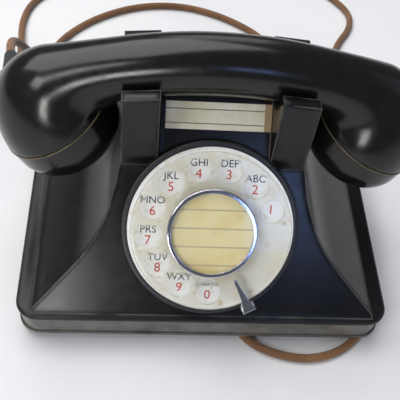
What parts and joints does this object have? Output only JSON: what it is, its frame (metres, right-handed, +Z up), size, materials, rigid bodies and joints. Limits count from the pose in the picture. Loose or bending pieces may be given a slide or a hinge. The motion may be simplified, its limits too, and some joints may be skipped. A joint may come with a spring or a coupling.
{
  "type": "rotary telephone",
  "caption": "Black desk telephone with a turning finger-wheel dial, a lift-off handset in a cradle, hook plungers, inner ringer and two cloth cords.",
  "frame": {"origin": "on the table under the middle of the base", "axes": "+Z up, dial faces -Y, +X to the right of someone facing the dial"},
  "size_m": [0.2546, 0.3931, 0.1412],
  "materials": {
    "bakelite_black": "polished",
    "handset_black": "satin",
    "clear_acrylic": "clear",
    "enamel_white": "gloss",
    "chrome": "polished",
    "case_black": "satin",
    "paper_card": "matte",
    "paper_label": "matte",
    "rubber_black": "matte",
    "cloth_brown": "woven",
    "tie_cloth": "woven",
    "plug_black": "satin",
    "brass": "satin",
    "insulator": "matte",
    "copper_wire": "satin",
    "capsule_metal": "satin",
    "steel": "satin"
  },
  "bodies": {
    "base": {"base_plate": "steel", "base_screw_front_left": "steel", "base_screw_front_right": "steel", "base_screw_rear_left": "steel", "base_screw_rear_right": "steel", "coil_tie": "tie_cloth", "condenser": "insulator", "dial_bridge": "steel", "dial_case": "case_black", "finger_stop": "chrome", "foot_front_left": "rubber_black", "foot_front_right": "rubber_black", "foot_rear_left": "rubber_black", "foot_rear_right": "rubber_black", "gong_left": "brass", "gong_right": "brass", "gong_screw_left": "steel", "gong_screw_right": "steel", "handset_cord": "cloth_brown", "handset_cord_grommet": "rubber_black", "hook_bracket": "steel", "hook_contacts": "insulator", "housing": "bakelite_black", "impulse_springs": "insulator", "induction_coil": "copper_wire", "label_card": "paper_label", "line_cord_coil": "cloth_brown", "line_cord_grommet": "rubber_black", "line_cord_run": "cloth_brown", "line_cord_tail": "cloth_brown", "line_plug": "plug_black", "number_plate": "enamel_white", "ringer_bracket": "steel", "ringer_coil_left": "copper_wire", "ringer_coil_right": "copper_wire", "terminal_block": "insulator", "terminal_screw_1": "steel", "terminal_screw_2": "steel", "terminal_screw_3": "steel", "terminal_screw_4": "steel"},
    "dial": {"finger_wheel": "clear_acrylic", "card_bezel": "chrome", "number_card": "paper_card", "card_window": "clear_acrylic", "dial_shaft": "brass", "main_gear": "brass"},
    "pulse": {"pulse_shaft": "brass"},
    "handset": {"handset_handle": "handset_black", "transmitter_cap": "handset_black", "receiver_cap": "handset_black", "transmitter_capsule": "capsule_metal", "receiver_capsule": "capsule_metal", "handset_cord_boot": "rubber_black"},
    "hook": {"plunger_left": "insulator", "plunger_right": "insulator", "hook_yoke": "insulator"},
    "ringer_clapper": {"clapper": "steel"}
  },
  "joints": [
    {"name": "dial_turn", "type": "hinge", "parent": "base", "child": "dial", "pos_m": [0, -0.0512, 0.0581], "axis": [0, 0.7619, -0.6477], "range_deg": [0, 325], "stiffness_Nm_per_rad": 0.004},
    {"name": "pulse_spin", "type": "hinge", "parent": "base", "child": "pulse", "pos_m": [0, -0.03371, 0.07867], "axis": [0, 0.7619, -0.6477], "range_deg": [-2120, 0]},
    {"name": "handset_lift", "type": "slide", "parent": "base", "child": "handset", "axis": [0, 0, 1], "range_m": [0, 0.12]},
    {"name": "hook_rise", "type": "slide", "parent": "base", "child": "hook", "axis": [0, 0, 1], "range_m": [0, 0.0061]},
    {"name": "clapper_swing", "type": "hinge", "parent": "base", "child": "ringer_clapper", "pos_m": [0, 0.017, 0.018], "axis": [0, 0, 1], "range_deg": [-4, 4], "stiffness_Nm_per_rad": 0.002}
  ],
  "couplings": [
    {"joint": "pulse_spin", "follows": "dial_turn", "ratio": -6.5},
    {"joint": "hook_rise", "follows": "handset_lift", "ratio": 0.05}
  ]
}
